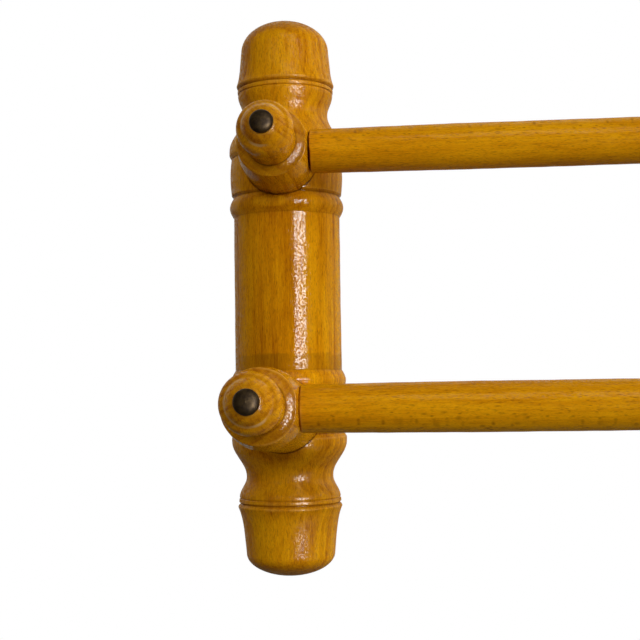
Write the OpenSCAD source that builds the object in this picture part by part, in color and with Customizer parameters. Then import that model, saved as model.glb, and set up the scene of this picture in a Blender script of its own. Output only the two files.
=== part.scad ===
// Wall-mounted newspaper rack: two turned posts, four turned arms and two round rails.
// Origin: midway between the two hanging holes, on the wall plane. +Z up, the front faces -Y.

/* [Rack] */
// Distance between the axes of the two posts
post_spacing = 560; // [300:10:900]
// Height above and below the middle at which the arms' axes cross the posts' axes
arm_height = 64.4; // [62:0.1:66]
// Upward rake of the arms, in degrees
arm_rake = 4; // [0:0.5:6]

/* [Post] */
// Height of a post's top above the middle
post_top = 143.5; // [142:0.5:150]
// Depth of a post's foot below the middle
post_foot = 144.5; // [142:0.5:150]
// Radius of the plain middle of a post
post_r = 27.5; // [26.5:0.1:28.5]
// Distance from a post's axis to its planed back
post_back = 21.5; // [20:0.1:23]
// Radius of the neck above the upper arm
upper_neck_r = 22; // [21.6:0.1:23]
// Radius of the neck below the lower arm
lower_neck_r = 22.3; // [21.6:0.1:23]
// Radius of the shoulder that carries the arm
shoulder_r = 29.2; // [28.8:0.1:30]
// Radius of the ridge where the upper cap begins
upper_ridge_r = 25.5; // [25.2:0.1:27]
// Radius of the ridge where the lower cap begins
lower_ridge_r = 26.8; // [25.2:0.1:27]

/* [Arm] */
// Distance from the post's axis to the collar of an upper arm
upper_collar = 56.9; // [54:0.1:62]
// How much longer a lower arm is than an upper one
lower_extra = 51; // [30:1:70]
// Radius of the drum that the rail enters
drum_r = 18.6; // [18:0.1:19.4]
// Radius of the collar at the front of the drum
collar_r = 16.9; // [16.4:0.1:17.4]
// Radius of the bead behind the nose
nose_bead_r = 13.3; // [12.8:0.1:13.8]
// Length of the nose, from the collar to the nail's seat
nose_len = 32.6; // [31:0.1:34]
// Radius of the tenon that enters the post
arm_tenon_r = 9; // [7:0.5:10]

/* [Rail] */
// Largest radius of a rail
rail_r = 11.2; // [10.8:0.1:11.5]
// Radius of a rail at its shoulders
rail_end_r = 10.8; // [9.5:0.1:10.8]
// Length over which a rail narrows towards its shoulder
rail_taper = 80; // [40:5:120]
// Distance from the collar back to the rail's axis
rail_setback = 19.4; // [18:0.1:21]
// Distance from an arm's axis to the flat that the rail's shoulder meets
flat_x = 16.2; // [15.8:0.1:16.6]
// Radius of a rail's tenon
rail_tenon_r = 6.5; // [5:0.5:7]
// Length of a rail's tenon
rail_tenon_len = 12; // [9:0.5:12.5]

/* [Fittings] */
// Radius of a nail's domed head
nail_r = 5.5; // [5:0.1:6]
// Length of the screw that holds an arm
arm_screw_len = 50; // [40:5:55]
// Radius of the round hole of a hanger plate's keyhole
key_hole_r = 4.25; // [4:0.05:4.5]
// Half-width of a keyhole's slot
key_slot_r = 2.1; // [2:0.05:2.4]

/* [Hidden] */
$fn = 96;

LEFT = -1;
RIGHT = 1;
UPPER = 1;
LOWER = -1;
gap = 0.05;          // clearance between pieces that fit together
past = 1;            // how far a cut starts outside the face it enters
beyond = 60;         // longer than any bore, and wider than any piece that is cut flat
fine = 6;            // steps in a long curve
coarse = 4;          // steps in a short curve

// Post, from its middle to either end
post_h = post_top + post_foot;
bead_z = [39.6, 50.2];              // the bead over the plain middle
seat_z = 51.4;                      // start of the swelling that the arm enters
upper_round_z = 74.2;               // widest point of the shoulder, beyond the fine groove
lower_round_z = 75.6;
neck_z = 93.6;                      // narrowest point of the neck
ring_z = 104.4;                     // end of the neck, at the ring between two fine grooves
cap_z = 109.2;                      // the ridge, where the cap begins
upper_dome = [22.9, 16];            // radius and height of the rounded end
lower_dome = [22.7, 11.5];

// Arm, measured from the post's axis along the arm
seat_l = 22;                        // bottom of the seat that the arm's foot is let into
tenon_l = 8;                        // end of the arm's tenon
foot_r = 18.2;                      // radius of the arm's foot
flat_margin = 1;                    // how far the rail's flat reaches behind the rail
foot_groove_l = 31.4;               // fine groove just in front of the post
nose_neck_r = 11.9;                 // neck between the collar and the nose's bead
nose_side_r = 11.7;                 // where the bead's curve turns into the hollow round the nose's tip
nose_tip_r = 8.9;                   // foot of the nose's domed tip
nail_seat_r = 5.7;                  // flat that the nail's head meets
arm_pilot_l = 37;                   // end of the screw's hole in the arm
screw_r = 2;                        // shank of the arm's screw
screw_head_r = 4.2;
screw_head_h = 2.6;
screw_sink = 2.4;                   // how deep the head lies in the planed back
screw_tip = 5;                      // length of its point
nail_shank_r = 1.1;
nail_shank_len = 13;
nail_dome_h = 3.3;

// Hanger plate, let into the planed back
plate_w = 16;
plate_l = 44;
plate_t = 1.6;
plate_screw_z = 16.5;               // distance of its screws from the middle
plate_screw_r = 1.5;
plate_screw_len = 13.5;
plate_screw_tip = 2.5;
plate_screw_head_r = 2.9;
plate_screw_head_h = 1.4;
key_rise = 8;                       // distance from the round hole up to the seat of the slot
head_room_r = 6;                    // recess behind the keyhole for the wall screw's head
head_room_d = 8;

// Curves, as lists of [radius, height]
function ease(t) = (1 - cos(180 * t)) / 2;
function line(a, b, t) = a + (b - a) * t;
function sweep_to(a, b, n) = [for (i = [0:n]) [line(a[0], b[0], ease(i / n)), line(a[1], b[1], i / n)]];
function bulge(r, rise, low, high, n) = [for (i = [0:n]) [r + rise * sin(180 * i / n),
                                                         line(low, high, i / n)]];
function flare(a, b, n) = [for (i = [0:n]) [a[0] + (b[0] - a[0]) * (0.55 * i / n + 0.45 * pow(i / n, 5)),
                                            line(a[1], b[1], i / n)]];
function oval_end(r, z, h, n) = [for (i = [0:n]) [r * cos(90 * i / n), z + h * sin(90 * i / n)]];
function reversed(list) = [for (i = [len(list) - 1:-1:0]) list[i]];
function below(list) = [for (p = reversed(list)) [p[0], -p[1]]];

function post_half(end_z, round_z, neck_r, ridge_r, dome) = let (dome_z = end_z - dome[1]) concat(
    bulge(post_r, 2.1, bead_z[0], bead_z[1], 2 * coarse),
    [[post_r + 0.4, 50.8]],
    bulge(28.6, 0.55, seat_z, round_z - 4.4, fine),
    [[28.2, round_z - 3.8], [28.7, round_z - 3.2]],
    [[shoulder_r, round_z - 1.6], [shoulder_r, round_z]],
    sweep_to([shoulder_r - 0.05, round_z + 0.6], [neck_r, neck_z], 2 * fine),
    sweep_to([neck_r, neck_z + 0.4], [ridge_r - 0.8, ring_z], fine),
    [[ridge_r - 1.2, ring_z + 0.4], [ridge_r - 0.6, ring_z + 0.9], [ridge_r - 0.5, ring_z + 2.3]],
    [[ridge_r - 1.4, ring_z + 3], [ridge_r - 0.35, cap_z - 0.8]],
    reversed(flare([dome[0], dome_z], [ridge_r, cap_z], fine + 2)),
    [for (p = oval_end(dome[0], dome_z, dome[1], 2 * fine)) if (p[1] > dome_z) p]
);

module turned(points) {
    rotate_extrude() polygon(points);
}

module at_post(side) {
    translate([side * post_spacing / 2, -post_back, 0]) children();
}

// Places children so that +Z runs out along an arm, from the post's axis
module along_arm(side, row) {
    at_post(side) translate([0, 0, row * arm_height]) rotate([90 - arm_rake, 0, 0]) children();
}

function extra(row) = row == LOWER ? lower_extra : 0;
function collar_l(row) = upper_collar + extra(row);
function rail_l(row) = collar_l(row) - rail_setback;
function nail_l(row) = collar_l(row) + nose_len;

// Where the arm's axis leaves the planed back, measured along the arm
back_l = -post_back / cos(arm_rake);

// The room that an arm, its screw and their clearance take out of a post
module arm_socket(side, row) {
    sunk_l = back_l + screw_sink;
    along_arm(side, row) {
        translate([0, 0, seat_l]) cylinder(r = foot_r + gap, h = beyond);
        translate([0, 0, tenon_l - 1]) cylinder(r = arm_tenon_r + gap, h = beyond);
        translate([0, 0, sunk_l]) cylinder(r = screw_r + gap, h = tenon_l - sunk_l);
        translate([0, 0, sunk_l - beyond]) cylinder(r = screw_head_r + 0.3, h = beyond);
        translate([0, 0, sunk_l]) screw_cone(gap);
    }
}

module screw_cone(clearance) {
    cylinder(r1 = screw_head_r + clearance, r2 = screw_r + clearance, h = screw_head_h - clearance);
}

module plate_outline(clearance, thick) {
    rotate([90, 0, 0]) linear_extrude(thick) {
        square([plate_w + 2 * clearance, plate_l - plate_w], center = true);
        for (end = [-1, 1]) {
            translate([0, end * (plate_l - plate_w) / 2]) circle(r = plate_w / 2 + clearance);
        }
    }
}

module keyhole(round_r, slot_r, thick) {
    rotate([90, 0, 0]) linear_extrude(thick) {
        circle(r = round_r);
        translate([-slot_r, 0]) square([2 * slot_r, key_rise]);
        translate([0, key_rise]) circle(r = slot_r);
    }
}

module post(side) {
    upper = post_half(post_top, upper_round_z, upper_neck_r, upper_ridge_r, upper_dome);
    lower = post_half(post_foot, lower_round_z, lower_neck_r, lower_ridge_r, lower_dome);
    difference() {
        at_post(side) turned(concat([[0, -post_foot]], below(lower), upper, [[0, post_top]]));
        translate([side * post_spacing / 2, beyond, 0])
            cube([2 * beyond, 2 * beyond, 2 * post_h], center = true);
        for (row = [UPPER, LOWER]) {
            arm_socket(side, row);
        }
        translate([side * post_spacing / 2, past, 0]) {
            plate_outline(gap, past + plate_t + gap);
            keyhole(head_room_r, head_room_r, past + head_room_d);
            for (end = [-1, 1]) {
                translate([0, 0, end * plate_screw_z]) rotate([90, 0, 0])
                    cylinder(r = plate_screw_r + gap, h = past + plate_screw_len + 0.5);
            }
        }
    }
}

function arm_foot() = [
    [arm_tenon_r, seat_l], [foot_r, seat_l],
    [foot_r, foot_groove_l - 0.7], [foot_r - 0.6, foot_groove_l], [foot_r + 0.1, foot_groove_l + 0.7]
];

// The drum swells from the foot to where the rail enters and narrows to the collar
function arm_drum(row) = concat(
    sweep_to([foot_r + 0.15, foot_groove_l + 1], [drum_r, rail_l(row) - 2], row == LOWER ? fine : 2),
    sweep_to([drum_r, rail_l(row) + 2], [collar_r, collar_l(row)], fine)
);

// The collar's face: nearly flat, hollowing towards the thin neck in front of it
function collar_face(n) = [for (i = [0:n]) let (in = (collar_r - 0.3 - nose_neck_r) * i / n)
    [collar_r - 0.3 - in, 0.3 + 0.09 * in + 0.058 * in * in]];

// The nose: the collar's face, a neck, two fine grooves, a bead, a hollow and a domed tip
function arm_nose(row) = [for (p = concat(
    collar_face(fine),
    sweep_to([nose_neck_r, 3.5], [12.7, 17.2], coarse),
    [[12, 17.8], [12.9, 18.4], [12.3, 19.1], [13.1, 19.7]],
    [for (i = [0:coarse]) [line(13.15, nose_bead_r, sin(90 * i / coarse)), line(19.9, 21.7, i / coarse)]],
    [for (i = [1:fine]) [line(nose_bead_r, nose_side_r, 2 * (1 - cos(60 * i / fine))),
                         21.7 + 5.6 * sin(60 * i / fine)]],
    [for (i = [1:fine]) [line(nose_tip_r, nose_side_r, pow(1 - i / fine, 1.5)),
                         line(26.55, 29.4, i / fine)]],
    [for (i = [1:fine]) [line(nail_seat_r, nose_tip_r, cos(90 * i / fine)),
                         line(29.4, nose_len, sin(90 * i / fine))]]
)) [p[0], p[1] + collar_l(row)]];

module arm(side, row) {
    inner = -side;
    along_arm(side, row) difference() {
        turned(concat(
            [[0, tenon_l], [arm_tenon_r - 1, tenon_l], [arm_tenon_r, tenon_l + 1]],
            arm_foot(), arm_drum(row), arm_nose(row), [[0, nail_l(row)]]
        ));
        translate([inner * (flat_x + beyond / 2), 0, rail_l(row) - rail_end_r - flat_margin + beyond / 2])
            cube(beyond, center = true);
        translate([0, 0, rail_l(row)]) rotate([0, inner * 90, 0])
            translate([0, 0, flat_x - rail_tenon_len - 0.3])
            cylinder(r = rail_tenon_r + gap, h = rail_tenon_len + past);
        translate([0, 0, tenon_l - past]) cylinder(r = screw_r + gap, h = arm_pilot_l - tenon_l + past);
        translate([0, 0, nail_l(row) - nail_shank_len - 0.5])
            cylinder(r = nail_shank_r + gap, h = nail_shank_len + past);
    }
}

module rail(row) {
    reach = post_spacing / 2 - flat_x - gap;
    tip = reach + rail_tenon_len;
    half = concat(
        sweep_to([rail_r, reach - rail_taper], [rail_end_r, reach - 0.6], 2 * fine),
        [[rail_end_r - 0.6, reach], [rail_tenon_r, reach]],
        [[rail_tenon_r, tip - 0.8], [rail_tenon_r - 0.8, tip]]
    );
    translate([0, -post_back - rail_l(row) * cos(arm_rake), row * arm_height + rail_l(row) * sin(arm_rake)])
        rotate([0, 90, 0]) turned(concat([[0, -tip]], below(half), half, [[0, tip]]));
}

module nail(side, row) {
    dome = oval_end(nail_r, 0.5, nail_dome_h - 0.5, 2 * coarse);
    along_arm(side, row) translate([0, 0, nail_l(row) + gap]) {
        turned(concat([[0, 0], [nail_r - 0.2, 0]], dome));
        translate([0, 0, -nail_shank_len + 2]) cylinder(r = nail_shank_r, h = nail_shank_len - 2);
        translate([0, 0, -nail_shank_len]) cylinder(r1 = 0.2, r2 = nail_shank_r, h = 2);
    }
}

module arm_screw(side, row) {
    shank = arm_screw_len - screw_head_h;
    along_arm(side, row) translate([0, 0, back_l + screw_sink]) difference() {
        union() {
            cylinder(r1 = screw_head_r, r2 = screw_r, h = screw_head_h);
            translate([0, 0, screw_head_h]) cylinder(r = screw_r, h = shank - screw_tip);
            translate([0, 0, arm_screw_len - screw_tip]) cylinder(r1 = screw_r, r2 = 0.3, h = screw_tip);
        }
        cube([3 * screw_head_r, 1, 2.8], center = true);
    }
}

module hanger_plate(side) {
    translate([side * post_spacing / 2, 0, 0]) difference() {
        plate_outline(0, plate_t);
        translate([0, past, 0]) keyhole(key_hole_r, key_slot_r, plate_t + 2 * past);
        for (end = [-1, 1]) {
            translate([0, 0, end * plate_screw_z]) rotate([90, 0, 0]) {
                translate([0, 0, -past]) cylinder(r = plate_screw_r + gap, h = plate_t + 2 * past);
                plate_screw_head(gap);
            }
        }
    }
}

module plate_screw_head(clearance) {
    cylinder(r1 = plate_screw_head_r + clearance, r2 = plate_screw_r + clearance, h = plate_screw_head_h);
}

module plate_screw(side, end) {
    shank = plate_screw_len - plate_screw_tip;
    translate([side * post_spacing / 2, 0, end * plate_screw_z]) rotate([90, 0, 0]) difference() {
        union() {
            plate_screw_head(0);
            cylinder(r = plate_screw_r, h = shank);
            translate([0, 0, shank]) cylinder(r1 = plate_screw_r, r2 = 0.3, h = plate_screw_tip);
        }
        cube([3 * plate_screw_head_r, 0.8, 1.2], center = true);
    }
}

module left_post() { color("#c08a2c") post(LEFT); }
module right_post() { color("#c08a2c") post(RIGHT); }
module left_upper_arm() { color("#c4902f") arm(LEFT, UPPER); }
module left_lower_arm() { color("#c4902f") arm(LEFT, LOWER); }
module right_upper_arm() { color("#c4902f") arm(RIGHT, UPPER); }
module right_lower_arm() { color("#c4902f") arm(RIGHT, LOWER); }
module upper_rail() { color("#bf7f1c") rail(UPPER); }
module lower_rail() { color("#bf7f1c") rail(LOWER); }
module left_upper_nail() { color("#3b342c") nail(LEFT, UPPER); }
module left_lower_nail() { color("#3b342c") nail(LEFT, LOWER); }
module right_upper_nail() { color("#3b342c") nail(RIGHT, UPPER); }
module right_lower_nail() { color("#3b342c") nail(RIGHT, LOWER); }
module left_upper_arm_screw() { color("#b59a5a") arm_screw(LEFT, UPPER); }
module left_lower_arm_screw() { color("#b59a5a") arm_screw(LEFT, LOWER); }
module right_upper_arm_screw() { color("#b59a5a") arm_screw(RIGHT, UPPER); }
module right_lower_arm_screw() { color("#b59a5a") arm_screw(RIGHT, LOWER); }
module left_hanger_plate() { color("#9a9a98") hanger_plate(LEFT); }
module right_hanger_plate() { color("#9a9a98") hanger_plate(RIGHT); }
module left_plate_upper_screw() { color("#b59a5a") plate_screw(LEFT, UPPER); }
module left_plate_lower_screw() { color("#b59a5a") plate_screw(LEFT, LOWER); }
module right_plate_upper_screw() { color("#b59a5a") plate_screw(RIGHT, UPPER); }
module right_plate_lower_screw() { color("#b59a5a") plate_screw(RIGHT, LOWER); }

left_post();
right_post();
left_upper_arm();
left_lower_arm();
right_upper_arm();
right_lower_arm();
upper_rail();
lower_rail();
left_upper_nail();
left_lower_nail();
right_upper_nail();
right_lower_nail();
left_upper_arm_screw();
left_lower_arm_screw();
right_upper_arm_screw();
right_lower_arm_screw();
left_hanger_plate();
right_hanger_plate();
left_plate_upper_screw();
left_plate_lower_screw();
right_plate_upper_screw();
right_plate_lower_screw();
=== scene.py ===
import math

import bmesh
import bpy
import numpy as np
from mathutils import Matrix, Vector


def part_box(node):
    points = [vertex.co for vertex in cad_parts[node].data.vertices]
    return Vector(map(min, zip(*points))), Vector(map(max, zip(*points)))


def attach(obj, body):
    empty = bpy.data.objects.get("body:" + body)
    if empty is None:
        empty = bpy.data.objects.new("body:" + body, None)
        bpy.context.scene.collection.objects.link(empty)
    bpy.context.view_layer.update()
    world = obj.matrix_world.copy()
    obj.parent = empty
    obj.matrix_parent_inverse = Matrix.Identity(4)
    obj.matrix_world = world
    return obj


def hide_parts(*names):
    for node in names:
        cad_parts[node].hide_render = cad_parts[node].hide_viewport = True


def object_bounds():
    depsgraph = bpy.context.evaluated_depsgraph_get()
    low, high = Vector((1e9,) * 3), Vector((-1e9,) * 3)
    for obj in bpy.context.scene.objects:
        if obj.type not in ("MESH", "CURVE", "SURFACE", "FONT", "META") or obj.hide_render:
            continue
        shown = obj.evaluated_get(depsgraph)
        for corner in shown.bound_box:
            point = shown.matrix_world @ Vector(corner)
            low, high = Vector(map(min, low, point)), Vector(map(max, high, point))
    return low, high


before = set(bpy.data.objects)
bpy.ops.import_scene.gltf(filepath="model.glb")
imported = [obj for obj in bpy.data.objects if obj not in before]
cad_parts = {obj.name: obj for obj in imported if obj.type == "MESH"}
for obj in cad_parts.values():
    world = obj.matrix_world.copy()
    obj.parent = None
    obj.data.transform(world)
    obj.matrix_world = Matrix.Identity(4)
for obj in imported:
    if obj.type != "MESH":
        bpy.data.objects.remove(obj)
cad_low, cad_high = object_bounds()

# Lengths are in millimetres. They become metres where meshes, places and lights are made.
MM = 0.001
GAP = 0.12            # open line between pieces that fit together, as it shows on old work
HOLE_GAP = 0.05       # between a screw or nail and its hole
# Faces round each turned shape
COLUMNS = {"post": 208, "arm": 220, "rail": 160, "nail": 72, "screw": 64, "tool": 96}
SIDES = {"left": -1, "right": 1}
ROWS = {"upper": 1, "lower": -1}

# ---------------------------------------------------------------- places and sizes


def box_mm(node):
    """Lowest and highest corner of a CAD node, in millimetres."""
    low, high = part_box(node)
    return np.array(low) / MM, np.array(high) / MM


post_low, post_high = box_mm("left_post")
SHOULDER_R = (post_high[0] - post_low[0]) / 2
POST_BACK = post_high[1] - post_low[1] - SHOULDER_R
POST_Y = post_high[1] - POST_BACK
POST_X = {side: float(np.mean([corner[0] for corner in box_mm(side + "_post")])) for side in SIDES}

ARM_RAKE = math.radians(4)
RAIL_YZ = {row: np.mean(box_mm(row + "_rail"), axis=0)[1:] for row in ROWS}
RAIL_R = (box_mm("upper_rail")[1][2] - box_mm("upper_rail")[0][2]) / 2
RAIL_TIP = box_mm("upper_rail")[1][0]
RAIL_L = {row: (POST_Y - RAIL_YZ[row][0]) / math.cos(ARM_RAKE) for row in ROWS}
ARM_Z = {row: RAIL_YZ[row][1] - RAIL_L[row] * math.sin(ARM_RAKE) for row in ROWS}

# In names, R is a radius, L a distance along an arm from its post's axis, and LEN, W, T, H and D sizes.
POST_R = 27.5         # plain middle of a post
RING_Z = 104.4        # fine ring between the neck and the cap
RIDGE_Z = 109.2       # where the cap begins
# The two ends differ a little, being turned by eye: round_z is the shoulder's widest point, and
# dome is the radius and height of the rounded end.
POST_ENDS = {
    "top": {"reach": post_high[2], "round_z": 74.2, "neck_r": 22, "ridge_r": 25.5, "dome": (22.9, 16)},
    "foot": {"reach": -post_low[2], "round_z": 75.6, "neck_r": 22.3, "ridge_r": 26.8, "dome": (22.7, 11.5)},
}
SEAT_L = 22           # seat of an arm's foot, from the post's axis
TENON_L = 8           # end of an arm's tenon
ARM_TENON_R = 9
FOOT_R = 18.2
FOOT_GROOVE_L = 31.4
DRUM_R = 18.6
COLLAR_R = 16.9
COLLAR_AHEAD = 19.4   # from the rail's axis to the collar
NOSE_LEN = 32.6       # from the collar to the nail's seat
NOSE_BEAD_R = 13.3
NOSE_NECK_R = 11.9    # between the collar and the bead
NOSE_SIDE_R = 11.7    # where the bead's curve turns into the hollow round the nose's tip
NAIL_SEAT_R = 5.7
NAIL_L = {row: RAIL_L[row] + COLLAR_AHEAD + NOSE_LEN for row in ROWS}
FLAT_X = 16.2         # from an arm's axis to the flat that the rail's shoulder meets
FLAT_BEHIND = 11.8    # how far the flat reaches behind the rail's axis
RAIL_END_R = 10.8
RAIL_TAPER = 80       # how far from its shoulder a rail begins to thin
RAIL_TENON_R = 6.5
RAIL_TENON_LEN = 12
SHOULDER_X = POST_X["right"] - FLAT_X - 0.05
NAIL_R = 5.5
NAIL_DOME_H = 3.3
NAIL_SHANK_R = 1.1
NAIL_SHANK_LEN = 13
ARM_SCREW = {
    "length": 50, "shank_r": 2, "head_r": 4.2, "head_h": 2.6, "tip": 5, "slot_w": 1, "slot_h": 1.4,
}
PLATE_SCREW = {
    "length": 13.5, "shank_r": 1.5, "head_r": 2.9, "head_h": 1.4, "tip": 2.5, "slot_w": 0.8, "slot_h": 0.6,
}
ARM_SCREW_HEAD_L = 2.4 - POST_BACK / math.cos(ARM_RAKE)     # sunk 2.4 in the post's back
PLATE_W = 16
PLATE_LEN = 44
PLATE_T = 1.6
PLATE_SCREW_Z = 16.5  # from a plate's middle to each of its screws
KEY_HOLE_R = 4.25
KEY_SLOT_R = 2.1
KEY_RISE = 8          # from the round hole's middle to the slot's end
HEAD_ROOM_R = 6       # pocket behind a plate for a wall screw's head
HEAD_ROOM_D = 8

# ---------------------------------------------------------------- outlines, as rows of radius, height


def ease(t):
    """0 to 1 with a gentle start and end."""
    return (1 - math.cos(math.pi * t)) / 2


def line(a, b, t):
    """The value a share t of the way from a to b."""
    return a + (b - a) * t


def sweep_to(a, b, n=20):
    """An S-curve from a to b that leaves and arrives parallel to the axis."""
    return [(line(a[0], b[0], ease(i / n)), line(a[1], b[1], i / n)) for i in range(n + 1)]


def bulge(radius, rise, low, high, n=16):
    """A round swelling that stands rise proud of radius."""
    return [(radius + rise * math.sin(math.pi * i / n), line(low, high, i / n)) for i in range(n + 1)]


def flare(a, b, n=20):
    """Nearly straight from a, then curling out to b."""
    share = [0.55 * i / n + 0.45 * (i / n) ** 5 for i in range(n + 1)]
    return [(line(a[0], b[0], s), line(a[1], b[1], i / n)) for i, s in enumerate(share)]


def oval_end(radius, z, h, n=24):
    """A quarter oval from radius at z to the axis at z + h, without its first point."""
    quarter = [math.pi / 2 * i / n for i in range(1, n + 1)]
    return [(radius * math.cos(q), z + h * math.sin(q)) for q in quarter]


def post_half(reach, round_z, neck_r, ridge_r, dome):
    """The post's outline from its middle to one end."""
    dome_r, dome_h = dome
    bead = bulge(POST_R, 2.1, 39.6, 50.2) + [(POST_R + 0.4, 50.8)]
    belly = bulge(28.6, 0.55, 51.4, round_z - 4.4)
    shoulder = [
        (28.2, round_z - 3.8), (28.7, round_z - 3.2), (SHOULDER_R, round_z - 1.6), (SHOULDER_R, round_z),
    ]
    neck = sweep_to((SHOULDER_R - 0.05, round_z + 0.6), (neck_r, 93.6))
    neck += sweep_to((neck_r, 94), (ridge_r - 0.8, RING_Z))
    ring = [
        (ridge_r - 1.2, RING_Z + 0.4), (ridge_r - 0.6, RING_Z + 0.9), (ridge_r - 0.5, RING_Z + 2.3),
        (ridge_r - 1.4, RING_Z + 3), (ridge_r - 0.35, RIDGE_Z - 0.8),
    ]
    cap = flare((dome_r, reach - dome_h), (ridge_r, RIDGE_Z))[::-1]
    return bead + belly + shoulder + neck + ring + cap + oval_end(dome_r, reach - dome_h, dome_h)


def post_outline():
    """The whole outline of a post, from its foot to its top."""
    foot = [(r, -z) for r, z in post_half(**POST_ENDS["foot"])]
    return foot[::-1] + post_half(**POST_ENDS["top"])


def nose_outline():
    """An arm's outline from its collar to its nail's seat, measured from the collar."""
    steps = [i / 16 for i in range(17)]
    rim_r = COLLAR_R - 0.3
    inward = [(rim_r - NOSE_NECK_R) * t for t in steps]
    face = [(rim_r - d, 0.3 + 0.09 * d + 0.058 * d * d) for d in inward]
    neck = sweep_to((NOSE_NECK_R, 3.5), (12.7, 17.2))
    rings = [(12, 17.8), (12.9, 18.4), (12.3, 19.1), (13.1, 19.7)]
    bead = [(line(13.15, NOSE_BEAD_R, math.sin(math.pi / 2 * t)), line(19.9, 21.7, t)) for t in steps[1:]]
    for t in steps[1:]:
        turn = math.pi / 3 * t
        bead.append((line(NOSE_BEAD_R, NOSE_SIDE_R, 2 * (1 - math.cos(turn))), 21.7 + 5.6 * math.sin(turn)))
    tip = []
    for t in [i / 32 for i in range(1, 33)]:
        # A cone that is hollow at first and then round
        proud = 0.18 * math.sin(math.pi * t) ** 2 - 0.21 * math.sin(2 * math.pi * t)
        tip.append((line(NOSE_SIDE_R, NAIL_SEAT_R, t) + proud, line(26.55, NOSE_LEN, t) + proud))
    return face + neck + rings + bead + tip + [(0, NOSE_LEN)]


def arm_outline(row):
    """An arm's outline from its tenon to its nail's seat, measured from the post's axis."""
    rail_l = RAIL_L[row]
    collar_l = rail_l + COLLAR_AHEAD
    tenon = [(0, TENON_L), (ARM_TENON_R - 1, TENON_L), (ARM_TENON_R, TENON_L + 1), (ARM_TENON_R, SEAT_L)]
    foot = [
        (FOOT_R, SEAT_L), (FOOT_R, FOOT_GROOVE_L - 0.7), (FOOT_R - 0.6, FOOT_GROOVE_L),
        (FOOT_R + 0.1, FOOT_GROOVE_L + 0.7),
    ]
    drum = sweep_to((FOOT_R + 0.15, FOOT_GROOVE_L + 1), (DRUM_R, rail_l - 2))
    drum += sweep_to((DRUM_R, rail_l + 2), (COLLAR_R, collar_l))
    return tenon + foot + drum + [(r, z + collar_l) for r, z in nose_outline()]


def rail_outline():
    """A rail tapers towards its shoulders, and has a thinner tenon at each end."""
    half = sweep_to((RAIL_R, SHOULDER_X - RAIL_TAPER), (RAIL_END_R, SHOULDER_X - 0.6)) + [
        (RAIL_END_R - 0.6, SHOULDER_X), (RAIL_TENON_R, SHOULDER_X),
        (RAIL_TENON_R, RAIL_TIP - 0.8), (RAIL_TENON_R - 0.8, RAIL_TIP), (0, RAIL_TIP),
    ]
    return [(r, -z) for r, z in half[::-1]] + half


def nail_outline():
    """A domed nail: its seat is at 0 and its shank runs down from there."""
    shank = [(0, -NAIL_SHANK_LEN), (0.25, -NAIL_SHANK_LEN + 0.2), (NAIL_SHANK_R, 2 - NAIL_SHANK_LEN)]
    under = [(NAIL_SHANK_R, 0), (NAIL_R - 0.35, 0), (NAIL_R, 0.35)]
    return shank + under + oval_end(NAIL_R, 0.5, NAIL_DOME_H - 0.5, 30)


def screw_outline(size):
    """A countersunk screw: its head's flat top is at 0 and its point at its length."""
    shank_l = size["length"] - size["tip"]
    return [
        (0, 0), (size["head_r"] - 0.15, 0), (size["head_r"], 0.2), (size["shank_r"], size["head_h"]),
        (size["shank_r"], shank_l), (0.3, size["length"] - 0.1), (0, size["length"]),
    ]


def evenly(points, step):
    """The same outline with a point every step."""
    points = np.array(points, float)
    lengths = np.concatenate([[0], np.cumsum(np.hypot(*np.diff(points, axis=0).T))])
    marks = np.linspace(0, lengths[-1], int(lengths[-1] / step) + 1)
    return np.column_stack([np.interp(marks, lengths, points[:, k]) for k in (0, 1)])


def blurred(points, step, reach):
    """An outline with a point every step, with its corners rounded over about reach."""
    half = int(3 * reach / step) + 1
    weights = np.exp(-0.5 * (np.arange(-half, half + 1) * step / reach) ** 2)
    weights /= weights.sum()
    columns = []
    for k in (0, 1):
        first, last = points[0, k], points[-1, k]
        padded = np.concatenate([np.full(half, first), points[:, k], np.full(half, last)])
        columns.append(np.convolve(padded, weights, "valid"))
    soft = np.column_stack(columns)
    soft[0], soft[-1] = points[0], points[-1]
    return soft


def thinned(points, tolerance, longest):
    """Indices of the points that keep the outline within tolerance, none further apart than longest."""
    keep = {0, len(points) - 1}
    spans = [(0, len(points) - 1)]
    while spans:
        a, b = spans.pop()
        if b - a < 2:
            continue
        chord = points[b] - points[a]
        length = math.hypot(*chord)
        offset = points[a + 1:b] - points[a]
        away = np.abs(chord[0] * offset[:, 1] - chord[1] * offset[:, 0]) / length
        if away.max() > tolerance or length > longest:
            middle = a + 1 + int(away.argmax()) if away.max() > tolerance else (a + b) // 2
            keep.add(middle)
            spans += [(a, middle), (middle, b)]
    return sorted(keep)


class Outline:
    """A turned piece's outline, with softened corners, and how hollow or proud it is at each point."""

    STEP = 0.1

    def __init__(self, points, soften=0.22, longest=3.0, tolerance=0.004):
        fine = blurred(evenly(points, self.STEP), self.STEP, soften)
        along = np.gradient(fine, axis=0)
        along /= np.linalg.norm(along, axis=1)[:, None] + 1e-9
        outward = np.column_stack([along[:, 1], -along[:, 0]])
        hollow = ((blurred(fine, self.STEP, 1.1) - fine) * outward).sum(1)
        kept = thinned(fine, tolerance, longest)
        self.points = fine[kept]
        self.hollow = hollow[kept]

    def hollow_at(self, radius, height):
        """How hollow the outline is where it passes closest to each radius and height."""
        found = np.empty(len(radius))
        for start in range(0, len(radius), 20000):
            part = slice(start, start + 20000)
            aside = radius[part, None] - self.points[:, 0]
            above = height[part, None] - self.points[:, 1]
            found[part] = self.hollow[(aside ** 2 + above ** 2).argmin(1)]
        return found


# ---------------------------------------------------------------- meshes


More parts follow.
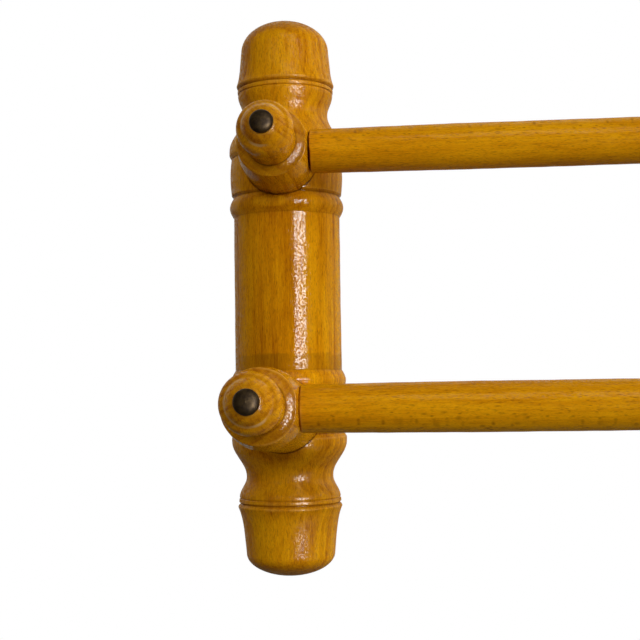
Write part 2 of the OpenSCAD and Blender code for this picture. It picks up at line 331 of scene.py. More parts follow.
def new_object(name, verts, faces):
    """A mesh object in the scene, from corners in millimetres."""
    mesh = bpy.data.meshes.new(name)
    mesh.from_pydata((np.asarray(verts) * MM).tolist(), [], faces)
    mesh.update()
    piece = bpy.data.objects.new(name, mesh)
    bpy.context.scene.collection.objects.link(piece)
    return piece


def turned(name, outline, columns, reshape=None):
    """A closed lathe mesh round Z. reshape(radius, angle, height) may change its radii and heights."""
    points = outline.points if isinstance(outline, Outline) else np.array(outline, float)
    rings = points[1:-1]
    angle = 2 * math.pi * np.arange(columns) / columns
    radius, turn = np.meshgrid(rings[:, 0], angle, indexing="ij")
    height = np.repeat(rings[:, 1:2], columns, axis=1)
    if reshape:
        radius, height = reshape(radius, turn, height)
    shell = np.stack([radius * np.sin(turn), radius * np.cos(turn), height], axis=2).reshape(-1, 3)
    verts = np.vstack([shell, [[0, 0, points[0, 1]], [0, 0, points[-1, 1]]]])
    bottom, top = len(verts) - 2, len(verts) - 1
    faces = []
    for j in range(columns):
        k = (j + 1) % columns
        faces.append((bottom, j, k))
        last = (len(rings) - 1) * columns
        faces.append((top, last + k, last + j))
        faces += [
            (i * columns + j, (i + 1) * columns + j, (i + 1) * columns + k, i * columns + k)
            for i in range(len(rings) - 1)
        ]
    return new_object(name, verts, faces)


def drum_tool(radius, low, high, turn=None, place=(0, 0, 0)):
    """A round cutting tool from low to high along Z, turned and then put in place."""
    tool = turned("tool", [(0, low), (radius, low), (radius, high), (0, high)], COLUMNS["tool"])
    tool.data.transform(Matrix.Translation(Vector(place) * MM) @ (turn or Matrix.Identity(4)))
    return tool


def slab_tool(outline, low, high):
    """A cutting tool: an outline in X and Z, from y = low to y = high."""
    n = len(outline)
    verts = [(x, y, z) for y in (low, high) for x, z in outline]
    faces = [tuple(range(n)), tuple(range(2 * n - 1, n - 1, -1))]
    faces += [((i + 1) % n, i, n + i, n + (i + 1) % n) for i in range(n)]
    return new_object("tool", verts, faces)


def cut(piece, tools):
    """Takes the tools' volumes out of piece for good, and deletes them."""
    for tool in tools:
        face_outward(tool)
        modifier = piece.modifiers.new("cut", "BOOLEAN")
        modifier.operation = "DIFFERENCE"
        modifier.solver = "EXACT"
        modifier.object = tool
    result = piece.evaluated_get(bpy.context.evaluated_depsgraph_get())
    mesh = bpy.data.meshes.new_from_object(result)
    piece.modifiers.clear()
    old = piece.data
    piece.data = mesh
    bpy.data.meshes.remove(old)
    for tool in tools:
        bpy.data.meshes.remove(tool.data)
    return piece


def face_outward(piece):
    """Makes every face's normal point out of the piece."""
    shape = bmesh.new()
    shape.from_mesh(piece.data)
    bmesh.ops.recalc_face_normals(shape, faces=shape.faces)
    shape.to_mesh(piece.data)
    shape.free()


def verts_mm(piece):
    """A piece's vertices in its own frame, in millimetres."""
    co = np.empty(len(piece.data.vertices) * 3)
    piece.data.vertices.foreach_get("co", co)
    return co.reshape(-1, 3) / MM


def smooth(piece, degrees=35):
    """Smooth shading, with edges kept sharp where faces meet at more than degrees."""
    mesh = piece.data
    mesh.polygons.foreach_set("use_smooth", np.ones(len(mesh.polygons), bool))
    mesh.set_sharp_from_angle(angle=math.radians(degrees))


def mark_hollows(piece, outline):
    """Stores on each vertex how hollow (above 0) or proud (below 0) the turning is there."""
    co = verts_mm(piece)
    hollow = outline.hollow_at(np.hypot(co[:, 0], co[:, 1]), co[:, 2])
    attribute = piece.data.attributes.new("hollow", "FLOAT", "POINT")
    attribute.data.foreach_set("value", hollow.astype(np.float32))


def softer_of(a, b, blend):
    """The smaller of a and b, with the corner where they cross rounded over about blend."""
    both = np.clip(0.5 + 0.5 * (b - a) / blend, 0, 1)
    return b * (1 - both) + a * both - blend * both * (1 - both)


def hand_turned(radius, turn, height, seed, amount=0.035):
    """Radii with the faint unevenness of hand turning and of wood that has moved."""
    phase = 1.7 * seed
    oval = 0.0012 * radius * np.sin(2 * turn + phase)
    waves = np.sin(height / 7.3 + phase) + 0.7 * np.sin(height / 3.1 + 2 * turn + 2 * phase)
    waves += 0.6 * np.sin(height / 1.9 - turn + 3 * phase) + 0.8 * np.sin(3 * turn + height / 17)
    return radius + oval + amount * waves * np.clip(radius / 10, 0, 1)


# ---------------------------------------------------------------- the pieces' shapes


def post_place(side):
    """From a post's own frame, which has its axis along Z, to the rack's frame."""
    return Matrix.Translation((POST_X[side] * MM, POST_Y * MM, 0))


def along_arm(row):
    """From an arm's own frame, +Z out along the arm, to its post's frame."""
    lift = Matrix.Translation((0, 0, ARM_Z[row] * MM))
    return lift @ Matrix.Rotation(math.pi / 2 - ARM_RAKE, 4, "X")


def stadium(width, length, n=24):
    """An upright outline with round ends, in X and Z."""
    r = width / 2
    half = length / 2 - r
    ends = [(1, 0), (-1, math.pi)]
    return [
        (r * math.cos(start + math.pi * i / n), sign * half + r * math.sin(start + math.pi * i / n))
        for sign, start in ends
        for i in range(n + 1)
    ]


def keyhole(round_r, slot_r, n=24):
    """A round hole with a slot that rises from it, in X and Z."""
    meet = math.asin(min(1, slot_r / round_r))
    sweep = 2 * math.pi - 2 * meet
    bowl = [math.pi / 2 + meet + sweep * i / n for i in range(n + 1)]
    arch = [math.pi * i / n for i in range(n + 1)]
    hole = [(round_r * math.cos(a), round_r * math.sin(a)) for a in bowl]
    return hole + [(slot_r * math.cos(a), KEY_RISE + slot_r * math.sin(a)) for a in arch]


def post_shape(outline):
    """A post round Z, with its back planed flat and every socket cut."""

    def planed(radius, turn, height):
        radius = hand_turned(radius, turn, height, 3)
        facing = np.maximum(np.cos(turn), 1e-3)
        return softer_of(radius, POST_BACK / facing, 0.5), height

    piece = turned("post", outline, COLUMNS["post"], planed)
    back = POST_BACK
    to_wall = Matrix.Rotation(-math.pi / 2, 4, "X")
    tools = [
        slab_tool(stadium(PLATE_W + 0.2, PLATE_LEN + 0.2), back - PLATE_T - 0.05, back + 5),
        slab_tool(keyhole(HEAD_ROOM_R, HEAD_ROOM_R - 0.01), back - HEAD_ROOM_D, back + 4),
    ]
    for end in (-1, 1):
        place = (0, 0, end * PLATE_SCREW_Z)
        tools.append(drum_tool(PLATE_SCREW["shank_r"] + HOLE_GAP, back - 14, back, to_wall, place))
    for row in ROWS:
        for radius, low, high in (
            (FOOT_R + 2 * GAP, SEAT_L, SEAT_L + 30),
            (ARM_TENON_R + GAP, TENON_L - 1, SEAT_L + 1),
            (ARM_SCREW["shank_r"] + HOLE_GAP, ARM_SCREW_HEAD_L, TENON_L),
            (ARM_SCREW["head_r"] + 0.3, ARM_SCREW_HEAD_L - 10, ARM_SCREW_HEAD_L),
        ):
            tool = drum_tool(radius, low, high)
            tool.data.transform(along_arm(row))
            tools.append(tool)
    return cut(piece, tools)


def arm_shape(row, inner, outline, seed):
    """An arm round Z, with its flat for the rail's shoulder on the side that inner points to."""
    rail_l = RAIL_L[row]
    inward = math.pi / 2 * inner

    def flattened(radius, turn, height):
        radius = hand_turned(radius, turn, height, seed, 0.025)
        facing = np.maximum(np.cos(turn - inward), 1e-3)
        flat = softer_of(radius, FLAT_X / facing, 0.3)
        return np.where(height > rail_l - FLAT_BEHIND, flat, radius), height

    piece = turned("arm", outline, COLUMNS["arm"], flattened)
    turn_in = Matrix.Rotation(inward, 4, "Y")
    nail_l = NAIL_L[row]
    tools = [
        drum_tool(RAIL_TENON_R + 0.1, FLAT_X - RAIL_TENON_LEN - 0.3, FLAT_X + 5, turn_in, (0, 0, rail_l)),
        drum_tool(ARM_SCREW["shank_r"] + HOLE_GAP, TENON_L - 1, 37),
        drum_tool(NAIL_SHANK_R + HOLE_GAP, nail_l - NAIL_SHANK_LEN - 0.5, nail_l + 1),
    ]
    return cut(piece, tools)


def rail_shape(row, outline):
    """A rail round Z. The left shoulder of the upper rail has drawn away from its arm."""
    opened = {"upper": 0.95, "lower": 0.12}[row]
    seed = {"upper": 5, "lower": 8}[row]

    def settled(radius, turn, height):
        radius = hand_turned(radius, turn, height, seed, 0.03)
        # The slit is widest low at the front, and has a ragged edge.
        low_front = 0.5 + 0.5 * np.cos(turn - 0.75 * math.pi)
        ragged = 0.12 * np.sin(5 * turn) + 0.08 * np.sin(11 * turn + 1)
        near_shoulder = np.clip((-height - SHOULDER_X + 3) / 3, 0, 1) * (radius > RAIL_TENON_R + 0.1)
        return radius, height + opened * near_shoulder * np.clip(low_front + ragged, 0, None)

    return turned("rail", outline, COLUMNS["rail"], settled)


def screw_shape(size):
    """A screw along Z with its slot along X."""
    outline = Outline(screw_outline(size), soften=0.08, longest=2, tolerance=0.006)
    piece = turned("screw", outline, COLUMNS["screw"])
    reach = 2 * size["head_r"]
    slot = slab_tool(
        [(-reach, -1), (reach, -1), (reach, size["slot_h"]), (-reach, size["slot_h"])],
        -size["slot_w"] / 2,
        size["slot_w"] / 2,
    )
    return cut(piece, [slot])


def plate_shape():
    """A hanger plate in the wall plane, its outer face at y = 0."""
    piece = slab_tool(stadium(PLATE_W, PLATE_LEN), -PLATE_T, 0)
    face_outward(piece)
    tools = [slab_tool(keyhole(KEY_HOLE_R, KEY_SLOT_R), -PLATE_T - 1, 1)]
    into_wood = Matrix.Rotation(math.pi / 2, 4, "X")
    head_r = PLATE_SCREW["head_r"] + HOLE_GAP
    hole_r = PLATE_SCREW["shank_r"] + HOLE_GAP
    countersink = [
        (0, -1), (head_r + 1, -1), (head_r, 0), (hole_r, PLATE_SCREW["head_h"]), (hole_r, 4), (0, 4),
    ]
    for end in (-1, 1):
        tool = turned("tool", countersink, COLUMNS["screw"])
        tool.data.transform(Matrix.Translation((0, 0, end * PLATE_SCREW_Z * MM)) @ into_wood)
        tools.append(tool)
    cut(piece, tools)
    rim = piece.modifiers.new("rim", "BEVEL")
    rim.width = 0.2 * MM
    rim.segments = 2
    rim.limit_method = "ANGLE"
    rim.angle_limit = math.radians(60)
    return piece


# ---------------------------------------------------------------- materials

RAY_BROWN = (0.20, 0.055, 0.002, 1)
PORE_BROWN = (0.17, 0.05, 0.003, 1)
END_GRAIN_BROWN = (0.22, 0.072, 0.005, 1)
GROOVE_SHADE_BROWN = (0.11, 0.036, 0.003, 1)
LOW_BAND_BROWN = (0.20, 0.085, 0.002, 1)
SEAM_AND_SHADE_BROWN = (0.10, 0.022, 0.002, 1)
RIM_HIGHLIGHT_PALE = (0.66, 0.44, 0.20, 1)
WORN_AND_LIT_AMBER = (0.78, 0.42, 0.07, 1)
BARE_RAY_BROWN = (0.24, 0.11, 0.04, 1)
GRIME = (0.20, 0.12, 0.06, 1)
# Wood from its palest to its darkest, as stops of position, red, green and blue.
VARNISHED_TONES = [
    (0.0, 0.78, 0.37, 0.004), (0.4, 0.65, 0.268, 0.002), (0.7, 0.50, 0.178, 0.001), (1.0, 0.30, 0.085, 0.001),
]
BARE_TONES = [(0.0, 0.62, 0.40, 0.20), (0.5, 0.50, 0.29, 0.125), (1.0, 0.33, 0.165, 0.06)]


class Nodes:
    """Builds the nodes of a material or a world. Its methods return sockets that others can take."""

    def __init__(self, owner):
        owner.use_nodes = True
        self.owner = owner
        self.tree = owner.node_tree
        kind = "Background" if isinstance(owner, bpy.types.World) else "Principled BSDF"
        self.shader = self.tree.nodes[kind]
        self.coords = self.tree.nodes.new("ShaderNodeTexCoord").outputs

    def put(self, socket, value):
        if isinstance(value, bpy.types.NodeSocket):
            self.tree.links.new(value, socket)
        else:
            socket.default_value = value

    def new(self, kind, inputs, output=0, **settings):
        node = self.tree.nodes.new(kind)
        for key, value in settings.items():
            setattr(node, key, value)
        for key, value in inputs.items():
            self.put(node.inputs[key], value)
        return node.outputs[output]

    def maths(self, operation, a, b=0.0):
        return self.new("ShaderNodeMath", {0: a, 1: b}, operation=operation)

    def vector(self, operation, a, b):
        return self.new("ShaderNodeVectorMath", {0: a, 1: b}, operation=operation)

    def axes(self, vector):
        node = self.tree.nodes.new("ShaderNodeSeparateXYZ")
        self.put(node.inputs[0], vector)
        return node.outputs

    def joined(self, x, y, z):
        return self.new("ShaderNodeCombineXYZ", {0: x, 1: y, 2: z})

    def places(self, seed=0):
        """A point in the piece's own frame in millimetres, and the same point moved by seed, so that
        no two pieces share a pattern."""
        place = self.vector("MULTIPLY", self.coords["Object"], (1 / MM,) * 3)
        return place, self.vector("ADD", place, (37 * seed, 91 * seed, 53 * seed))

    def fade(self, value, low, high, to_low=0.0, to_high=1.0):
        """value between low and high, eased, to between to_low and to_high."""
        inputs = {"Value": value, "From Min": low, "From Max": high, "To Min": to_low, "To Max": to_high}
        return self.new("ShaderNodeMapRange", inputs, interpolation_type="SMOOTHSTEP")

    def noise(self, vector, size, detail=2.0, rough=0.5, output="Fac"):
        """Noise whose features are size millimetres across, along X, Y and Z."""
        scaled = self.vector("DIVIDE", vector, size)
        inputs = {"Vector": scaled, "Scale": 1.0, "Detail": detail, "Roughness": rough}
        return self.new("ShaderNodeTexNoise", inputs, output)

    def noise_1d(self, value, size, seed):
        """Noise along one value, with features of about size."""
        position = self.maths("ADD", self.maths("DIVIDE", value, size), seed)
        inputs = {"W": position, "Scale": 1.0, "Detail": 2.0}
        return self.new("ShaderNodeTexNoise", inputs, noise_dimensions="1D")

    def mix(self, share, a, b):
        """Colour a, with a share of b."""
        node = self.tree.nodes.new("ShaderNodeMix")
        node.data_type = "RGBA"
        for socket, value in zip((node.inputs["Factor"], node.inputs[6], node.inputs[7]), (share, a, b)):
            self.put(socket, value)
        return node.outputs[2]

    def ramp(self, value, stops):
        """A colour from a value, from stops of position, red, green and blue."""
        node = self.tree.nodes.new("ShaderNodeValToRGB")
        self.put(node.inputs[0], value)
        elements = node.color_ramp.elements
        while len(elements) < len(stops):
            elements.new(0.5)
        for element, (position, *colour) in zip(elements, stops):
            element.position = position
            element.color = (*colour, 1)
        return node.outputs[0]

    def bump(self, height, distance_mm):
        inputs = {"Height": height, "Distance": distance_mm * MM, "Strength": 1.0}
        return self.new("ShaderNodeBump", inputs, "Normal")

    def set(self, **values):
        """Sets the shader's inputs, and returns the material or world."""
        for key, value in values.items():
            self.put(self.shader.inputs[key.replace("_", " ")], value)
        return self.owner


def ray_flecks(nodes, around, depth, z):
    """The wood's rays, seen as short dark flecks along the grain, in two sizes."""
    flecks = 0.0
    for width, length, strength in ((0.42, 3.0, 1.0), (0.75, 5.4, 0.8)):
        parts = ((around, width), (depth, 9.0), (z, length))
        spread = nodes.joined(*(nodes.maths("DIVIDE", part, size) for part, size in parts))
        cells = nodes.tree.nodes.new("ShaderNodeTexVoronoi")
        cells.inputs["Scale"].default_value = 1.0
        nodes.put(cells.inputs["Vector"], spread)
        chance = nodes.fade(nodes.axes(cells.outputs["Color"])[0], 0.0, 1.0, 0.1, strength)
        fleck = nodes.maths("MULTIPLY", nodes.fade(cells.outputs["Distance"], 0.06, 0.42, 1.0, 0.0), chance)
        flecks = nodes.maths("MAXIMUM", flecks, fleck)
    return flecks


def grain(nodes, seed, pith, ring_mm, waver):
    """Beech in the piece's own frame, its grain along Z: growth rings round a pith off to one side,
    rays, fine streaks, pores and broad bands of tone."""
    place, spot = nodes.places(seed)
    drift = nodes.noise(spot, (40, 40, 110), 2, output="Color")
    drift = nodes.vector("MULTIPLY", nodes.vector("SUBTRACT", drift, (0.5, 0.5, 0.5)), (waver, waver, 0))
    x, y, z = nodes.axes(nodes.vector("ADD", place, drift))
    dx = nodes.maths("SUBTRACT", x, pith[0])
    dy = nodes.maths("SUBTRACT", y, pith[1])
    squares = nodes.maths("ADD", nodes.maths("POWER", dx, 2.0), nodes.maths("POWER", dy, 2.0))
    depth = nodes.maths("SQRT", squares)
    around = nodes.maths("MULTIPLY", nodes.maths("ARCTAN2", dy, dx), math.hypot(*pith))
    uneven = nodes.maths("MULTIPLY", nodes.noise_1d(depth, 3 * ring_mm, seed), 2.2)
    phase = nodes.maths("FRACT", nodes.maths("ADD", nodes.maths("DIVIDE", depth, ring_mm), uneven))
    return {
        "place": place,
        "spot": spot,
        "late": nodes.maths("MULTIPLY", nodes.fade(phase, 0.1, 0.85), nodes.fade(phase, 0.88, 1.0, 1.0, 0.0)),
        "band": nodes.noise_1d(depth, 8.0, 7 + seed),
        "cloud": nodes.noise(spot, (16, 16, 60), 3),
        "streak": nodes.noise(spot, (0.7, 0.7, 10), 3, 0.65),
        "stripe": nodes.noise(spot, (2.2, 2.2, 60), 2),
        "pore": nodes.fade(nodes.noise(spot, (0.25, 0.25, 1.8), 1), 0.54, 0.72),
        "ray": ray_flecks(nodes, around, depth, z),
    }


def post_band_and_seam_shade(nodes, wood, height, colour):
    """A darker band just above a post's lower bead, and in front, round the arms' feet, dark seams with
    painted shade fading out from them.
    """
    # A darker band just above the lower bead, with a ragged upper edge and patchy strength.
    uneven = nodes.maths("MULTIPLY", nodes.noise(wood["spot"], (7, 7, 3), 3), 4.0)
    level = nodes.maths("ADD", height, uneven)
    low_band = nodes.maths("MULTIPLY", nodes.fade(level, -29.2, -30.6), nodes.fade(height, -40.5, -39.5))
    low_band = nodes.maths("MULTIPLY", low_band, nodes.fade(wood["cloud"], 0.35, 0.6, 0.15, 0.5))
    colour = nodes.mix(low_band, colour, LOW_BAND_BROWN)
    front = nodes.fade(nodes.axes(wood["place"])[1], -1.0, -4.0)
    along = (0, -math.cos(ARM_RAKE), math.sin(ARM_RAKE))
    for arm_z in ARM_Z.values():
        across = nodes.vector("CROSS_PRODUCT", nodes.vector("SUBTRACT", wood["place"], (0, 0, arm_z)), along)
        away = nodes.new("ShaderNodeVectorMath", {0: across}, "Value", operation="LENGTH")
        # Dark seam round each arm's foot in front, with painted shade fading out over about a millimetre.
        seam_and_shade = nodes.maths("MULTIPLY", front, nodes.fade(away, FOOT_R + 0.2, FOOT_R + 1.1, 0.75, 0.0))
        colour = nodes.mix(seam_and_shade, colour, SEAM_AND_SHADE_BROWN)
    return colour


def nail_ring_highlight(nodes, wood, height, nail_l, colour):
    """A pale ring on a nose's tip round the nail: a painted highlight along the tip's rim, where the varnish
    is also rubbed thin.
    """
    from_ring = nodes.maths("ABSOLUTE", nodes.maths("SUBTRACT", height, nail_l - 4.4))
    # The pale ring is a painted highlight on the rim, patchy like rubbed varnish.
    rubbed_and_lit = nodes.fade(nodes.noise(wood["spot"], (9, 9, 9), 2), 0.40, 0.62, 0.0, 0.6)
    share = nodes.maths("MULTIPLY", nodes.fade(from_ring, 0.2, 0.9, 1.0, 0.0), rubbed_and_lit)
    return nodes.mix(share, colour, RIM_HIGHLIGHT_PALE)


def varnish_film(nodes, wood, gloss):
    """A clear coat that follows the wood's fibre a little, is dimpled, and shines in fine specks.
    gloss is the coat's roughness."""
    flecks = nodes.maths("MULTIPLY", nodes.maths("ADD", wood["pore"], wood["ray"]), -0.5)
    fibre = nodes.maths("ADD", nodes.maths("MULTIPLY", wood["streak"], 0.8), flecks)
    dimples = nodes.noise(wood["spot"], (0.75, 0.75, 1.1), 2, 0.6)
    film = nodes.maths("ADD", nodes.maths("MULTIPLY", dimples, 0.9), nodes.maths("MULTIPLY", fibre, 0.6))
    speck = nodes.fade(nodes.noise(wood["spot"], (0.8, 0.8, 1.0), 1), 0.45, 0.60, 0.05, 1.0)
    rough = nodes.fade(nodes.noise(wood["spot"], (6, 6, 30), 3), 0.3, 0.7, 0.34, 0.5)
    nodes.set(
        Roughness=rough, Normal=nodes.bump(fibre, 0.03), Specular_IOR_Level=0.0,
        Coat_Weight=speck, Coat_Roughness=gloss, Coat_IOR=1.5, Coat_Normal=nodes.bump(film, 0.022),
    )


def varnished_beech(name, seed, pith, ring_mm, waver, figure=1.0, on_post=False, nail_l=None):
    """Honey-amber gloss varnish over turned beech, with painted shade darkening the grooves, and proud edges
    painted paler as wear and as a painted highlight.
    figure is how strongly the growth rings and stripes show, and nail_l is where an arm's nail sits."""
    nodes = Nodes(bpy.data.materials.new(name))
    wood = grain(nodes, seed, pith, ring_mm, waver)
    height = nodes.axes(wood["place"])[2]
    tone = nodes.maths("MULTIPLY", wood["late"], 0.26 * figure)
    for part, weight in (("band", 0.6), ("cloud", 0.7), ("streak", 1.1), ("stripe", 0.8 * figure)):
        shift = nodes.maths("MULTIPLY", nodes.maths("SUBTRACT", wood[part], 0.5), weight)
        tone = nodes.maths("ADD", tone, shift)
    colour = nodes.ramp(nodes.maths("ADD", tone, 0.20 + 0.09 * figure), VARNISHED_TONES)
    colour = nodes.mix(nodes.maths("MULTIPLY", wood["ray"], 0.62), colour, RAY_BROWN)
    colour = nodes.mix(nodes.maths("MULTIPLY", wood["pore"], 0.36), colour, PORE_BROWN)
    # End grain drinks more of the varnish, so it is darker and redder.
    up = nodes.maths("ABSOLUTE", nodes.axes(nodes.coords["Normal"])[2])
    colour = nodes.mix(nodes.fade(up, 0.35, 1.0, 0.0, 0.42), colour, END_GRAIN_BROWN)
    hollow = nodes.new("ShaderNodeAttribute", {}, "Fac", attribute_name="hollow")
    # Grooves and hollows are darkened with painted shade, deepest where the turning is most hollow.
    colour = nodes.mix(nodes.fade(hollow, 0.08, 0.36, 0.0, 0.6), colour, GROOVE_SHADE_BROWN)
    gloss = 0.12
    if on_post:
        colour = post_band_and_seam_shade(nodes, wood, height, colour)
        # The plain middle was rubbed smoother than the shaped ends.
        gloss = nodes.fade(nodes.maths("ABSOLUTE", height), 50.0, 56.0, 0.04, 0.2)
    if nail_l:
        colour = nail_ring_highlight(nodes, wood, height, nail_l, colour)
    # Proud edges are paler: partly worn varnish, partly a painted highlight on the ridges.
    worn_and_lit = nodes.maths("MULTIPLY", nodes.fade(hollow, -0.05, -0.28), nodes.fade(wood["cloud"], 0.4, 0.6))
    colour = nodes.mix(nodes.maths("MULTIPLY", worn_and_lit, 0.30), colour, WORN_AND_LIT_AMBER)
    varnish_film(nodes, wood, gloss)
    return nodes.set(Base_Color=colour)


def planed_beech(name, seed, pith):
    """Bare beech on a post's back: paler, dry, with the ripple of the planer."""
    nodes = Nodes(bpy.data.materials.new(name))
    wood = grain(nodes, seed, pith, 3.4, 3.0)
    late = nodes.maths("MULTIPLY", wood["late"], 0.3)
    tone = nodes.maths("ADD", late, nodes.maths("MULTIPLY", wood["streak"], 0.5))
    colour = nodes.ramp(tone, BARE_TONES)
    colour = nodes.mix(nodes.maths("MULTIPLY", wood["ray"], 0.5), colour, BARE_RAY_BROWN)
    dirty = nodes.fade(nodes.noise(wood["spot"], (14, 14, 20), 4, 0.65), 0.45, 0.75, 0.0, 0.4)
    colour = nodes.mix(dirty, colour, GRIME)
    height = nodes.axes(wood["place"])[2]
    ripple = nodes.maths("SINE", nodes.maths("MULTIPLY", height, 2 * math.pi / 2.6))
    relief = nodes.maths("ADD", nodes.maths("MULTIPLY", ripple, 0.25), wood["streak"])
    return nodes.set(
        Base_Color=colour, Roughness=nodes.fade(wood["streak"], 0.3, 0.7, 0.62, 0.8),
        Normal=nodes.bump(relief, 0.05), Specular_IOR_Level=0.3,
    )


def aged_metal(name, bright, dark, seed, rough=(0.3, 0.55), grain_mm=0.5, cover=(0.42, 0.62), metallic=1.0):
    """Metal under a patchy tarnish, with fine pits."""
    nodes = Nodes(bpy.data.materials.new(name))
    _, spot = nodes.places(seed)
    patch = nodes.noise(spot, (3 * grain_mm,) * 3, 5, 0.7)
    pits = nodes.fade(nodes.noise(spot, (grain_mm / 2,) * 3, 3, 0.6), 0.55, 0.72)
    tarnish = nodes.maths("MAXIMUM", nodes.fade(patch, *cover), nodes.maths("MULTIPLY", pits, 0.7))
    relief = nodes.maths("SUBTRACT", patch, nodes.maths("MULTIPLY", pits, 0.6))
    return nodes.set(
        Base_Color=nodes.mix(tarnish, (*bright, 1), (*dark, 1)), Metallic=metallic,
        Roughness=nodes.fade(tarnish, 0.0, 1.0, *rough), Normal=nodes.bump(relief, 0.04),
    )


# ---------------------------------------------------------------- assembly


def settle(piece, name, place, node, slot, *materials):
    """Names and places a piece, gives it its materials, hangs it on the root body and hides the CAD node it
    stands for.
    """
    piece.name = name
    piece.data.name = name
    for material in materials:
        piece.data.materials.append(material)
    piece.matrix_world = place
    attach(piece, "root")
    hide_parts(node)
    return piece


def is_bare(polygon):
    """Whether a face of a post was never varnished: it is on the planed back, or cut into it."""
    middle = polygon.center
    if middle[1] <= (POST_BACK - HEAD_ROOM_D - 0.1) * MM:
        return False
    return polygon.normal[1] > 0.999 or math.hypot(*middle[:2]) < 0.78 * POST_BACK * MM


def make_posts():
    """Two posts from one shape, each with a grain of its own."""
    outline = Outline([(0, post_low[2])] + post_outline()[1:-1] + [(0, post_high[2])], soften=0.16)
    shape = post_shape(outline)
    mark_hollows(shape, outline)
    for polygon in shape.data.polygons:
        polygon.material_index = int(is_bare(polygon))
    smooth(shape)
    twin = shape.copy()
    twin.data = shape.data.copy()
    bpy.context.scene.collection.objects.link(twin)
    piths = {"left": (14, 70), "right": (-22, -64)}
    for count, (side, piece) in enumerate(zip(SIDES, (shape, twin))):
        seed = 2 + 3 * count
        front = varnished_beech(side + "_post_varnish", seed, piths[side], 5.2, 4.0, on_post=True)
        back = planed_beech(side + "_post_back", seed, piths[side])
        name = side + "_turned_post"
        settle(piece, name, post_place(side), side + "_post", "post_beech", front, back)


def make_arms():
    """Four arms. The flats of each pair face each other."""
    piths = {
        ("left", "upper"): (30, 34), ("left", "lower"): (-26, 40),
        ("right", "upper"): (18, -52), ("right", "lower"): (44, 22),
    }
    for row in ROWS:
        outline = Outline(arm_outline(row), soften=0.11, longest=2.5)
        for side in SIDES:
            seed = 11 + 5 * list(piths).index((side, row))
            name = side + "_" + row
            piece = arm_shape(row, -SIDES[side], outline, seed)
            mark_hollows(piece, outline)
            smooth(piece)
            pith = piths[side, row]
            wood = varnished_beech(name + "_arm_varnish", seed, pith, 3.4, 2.0, nail_l=NAIL_L[row])
            place = post_place(side) @ along_arm(row)
            settle(piece, name + "_turned_arm", place, name + "_arm", "arm_beech", wood)


def make_rails():
    """Two rails, with a plainer figure than the turned pieces."""
    piths = {"upper": (-55, 40), "lower": (60, 30)}
    outline = Outline(rail_outline())
    for count, row in enumerate(ROWS):
        piece = rail_shape(row, outline)
        mark_hollows(piece, outline)
        smooth(piece)
        wood = varnished_beech(row + "_rail_varnish", 31 + 7 * count, piths[row], 4.2, 5.0, figure=0.4)
        place = Matrix.Translation(Vector((0, *RAIL_YZ[row])) * MM) @ Matrix.Rotation(math.pi / 2, 4, "Y")
        settle(piece, row + "_round_rail", place, row + "_rail", "rail_beech", wood)


def make_nails():
    """A domed nail in each nose, with a dark brown patina."""
    outline = Outline(nail_outline(), soften=0.1, longest=1, tolerance=0.003)
    for count, (side, row) in enumerate((side, row) for side in SIDES for row in ROWS):

        def struck(radius, turn, height):
            """A dome flattened a little by the hammer, off centre."""
            shift = 0.9 * np.sin(turn + 1.3 * count) * radius / NAIL_R
            dent = 0.16 * np.exp(-((radius - 1.2 - shift) / 1.8) ** 2) * (height > 0.6)
            return radius, height - dent

        name = side + "_" + row
        piece = turned("nail", outline, COLUMNS["nail"], struck)
        smooth(piece)
        metal = aged_metal(
            name + "_nail_patina", (0.075, 0.046, 0.017), (0.018, 0.009, 0.003), 41 + count,
            rough=(0.42, 0.5), grain_mm=0.9, cover=(0.3, 0.7), metallic=0.7,
        )
        place = post_place(side) @ along_arm(row) @ Matrix.Translation((0, 0, (NAIL_L[row] + 0.05) * MM))
        settle(piece, name + "_domed_nail", place, name + "_nail", "nail_metal", metal)


def make_screws():
    """Brass screws: from the back of each post into its arms, and through each hanger plate."""
    brass = aged_metal("screw_brass", (0.72, 0.50, 0.20), (0.26, 0.17, 0.08), 51, cover=(0.45, 0.75))
    into_wood = Matrix.Rotation(math.pi / 2, 4, "X")
    for side in SIDES:
        for count, row in enumerate(ROWS):
            # Each pair of slots has come to rest at its own angle.
            turn = Matrix.Rotation(0.6 + 1.1 * count + SIDES[side], 4, "Z")
            piece = screw_shape(ARM_SCREW)
            smooth(piece)
            head = Matrix.Translation((0, 0, ARM_SCREW_HEAD_L * MM))
            place = post_place(side) @ along_arm(row) @ head @ turn
            name = side + "_" + row + "_arm_screw"
            settle(piece, name + "_slotted", place, name, "screw_brass", brass)
            piece = screw_shape(PLATE_SCREW)
            smooth(piece)
            at = Matrix.Translation((POST_X[side] * MM, 0, ROWS[row] * PLATE_SCREW_Z * MM))
            name = side + "_plate_" + row + "_screw"
            settle(piece, name + "_slotted", at @ into_wood @ turn, name, "screw_brass", brass)


def make_plates():
    """A zinc-plated keyhole plate let into the back of each post."""
    bright, dull = (0.62, 0.62, 0.60), (0.30, 0.28, 0.25)
    zinc = aged_metal("hanger_zinc", bright, dull, 61, grain_mm=1.2, cover=(0.5, 0.8))
    for side in SIDES:
        piece = plate_shape()
        smooth(piece, 30)
        place = Matrix.Translation((POST_X[side] * MM, 0, 0))
        settle(piece, side + "_keyhole_plate", place, side + "_hanger_plate", "plate_steel", zinc)


# ---------------------------------------------------------------- camera, floor and light


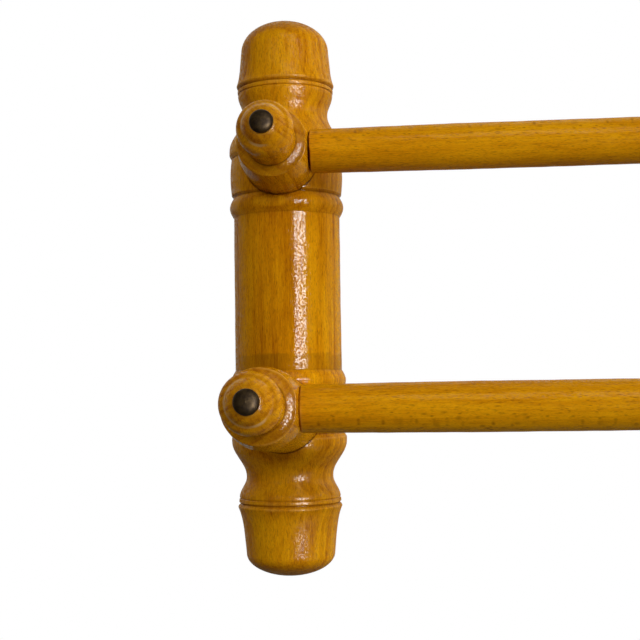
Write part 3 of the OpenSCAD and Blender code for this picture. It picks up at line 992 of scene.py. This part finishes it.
def make_camera():
    """Stands before the left end, a little below its middle, and looks slightly up and to the left."""
    data = bpy.data.cameras.new("camera")
    data.sensor_width = 36
    data.lens = 66.05
    camera = bpy.data.objects.new("camera", data)
    bpy.context.scene.collection.objects.link(camera)
    yaw, pitch, roll = -0.0959, 0.0605, -0.0145
    ahead = Vector((math.sin(yaw) * math.cos(pitch), math.cos(yaw) * math.cos(pitch), math.sin(pitch)))
    right = Vector((math.cos(yaw), -math.sin(yaw), 0))
    above = right.cross(ahead)
    tilted_right = math.cos(roll) * right + math.sin(roll) * above
    tilted_above = math.cos(roll) * above - math.sin(roll) * right
    turn = Matrix((tilted_right, tilted_above, -ahead)).transposed().to_4x4()
    stand = Vector((POST_X["left"] + 74.9, POST_Y - 605.5, -50.6)) * MM
    camera.matrix_world = Matrix.Translation(stand) @ turn
    bpy.context.scene.camera = camera


def post_middle():
    """The left post's middle, in metres, which the lights face."""
    return Vector((POST_X["left"] * MM, POST_Y * MM, 0))


def on_circle(degrees, distance, height):
    """A point in metres round the left post: 0 degrees is straight out in front, 90 towards the rails."""
    a = math.radians(degrees)
    return post_middle() + Vector((distance * math.sin(a), -distance * math.cos(a), height))


def area_light(name, place, size, radiance, colour=(1, 1, 1), mirrored=False):
    """A soft rectangular light. It either shows in gloss, when mirrored, or lights the wood."""
    data = bpy.data.lights.new(name, "AREA")
    data.shape = "RECTANGLE"
    data.size, data.size_y = size
    data.energy = radiance * math.pi * size[0] * size[1]
    data.color = colour
    light = bpy.data.objects.new(name, data)
    light.location = place
    light.rotation_euler = (post_middle() - place).to_track_quat("-Z", "Y").to_euler()
    light.visible_glossy = mirrored
    light.visible_diffuse = not mirrored
    bpy.context.scene.collection.objects.link(light)


def make_light():
    """Two lights that show in the varnish, and four that light the wood."""
    area_light("window", on_circle(34, 2.0, -0.1), (0.85, 1.3), 16.0, mirrored=True)
    area_light("ceiling", on_circle(20, 1.6, 1.6), (1.2, 1.0), 0.8, mirrored=True)
    area_light("key", on_circle(38, 2.3, 0.8), (1.2, 1.0), 7.0)
    area_light("front_fill", on_circle(-22, 2.6, 1.1), (1.7, 1.2), 3.9, (1, 0.93, 0.82))
    area_light("right_fill", on_circle(88, 2.3, 0.6), (1.4, 1.2), 3.9)
    area_light("low_fill", on_circle(58, 2.0, -0.95), (1.6, 0.8), 3.0, (1, 0.94, 0.84))


def make_world():
    """A room that glows from behind the rack and from above. The camera sees plain white instead."""
    nodes = Nodes(bpy.data.worlds.new("studio"))
    toward = nodes.axes(nodes.coords["Generated"])
    behind = nodes.fade(toward["Y"], -0.2, 0.7, 0.03, 0.7)
    glow = nodes.maths("MULTIPLY", behind, nodes.fade(toward["Z"], -0.6, 0.5, 0.25, 1.0))
    seen = nodes.new("ShaderNodeLightPath", {}, "Is Camera Ray")
    bpy.context.scene.world = nodes.set(
        Strength=nodes.maths("MAXIMUM", glow, seen),
        Color=nodes.mix(seen, (1, 0.93, 0.78, 1), (1, 1, 1, 1)),
    )


def make_floor():
    """A pale floor well below the rack, which hangs at reading height. It throws no light on the rack."""
    reach, level = 4000, cad_low[2] / MM - 1400
    corners = [(-reach, -reach), (reach, -reach), (reach, reach), (-reach, reach)]
    floor = new_object("floor", [(x, y, level) for x, y in corners], [(0, 1, 2, 3)])
    nodes = Nodes(bpy.data.materials.new("pale_floor"))
    place, _ = nodes.places()
    colour = nodes.mix(nodes.noise(place, (90, 90, 90), 3), (0.80, 0.79, 0.77, 1), (0.86, 0.85, 0.83, 1))
    pale = nodes.set(Base_Color=colour, Roughness=0.7, Emission_Color=colour, Emission_Strength=0.4)
    floor.data.materials.append(pale)
    floor.visible_diffuse = floor.visible_glossy = False


make_camera()
make_posts()
make_arms()
make_rails()
make_nails()
make_screws()
make_plates()
make_light()
make_world()
make_floor()
bpy.context.scene.view_settings.view_transform = "Standard"
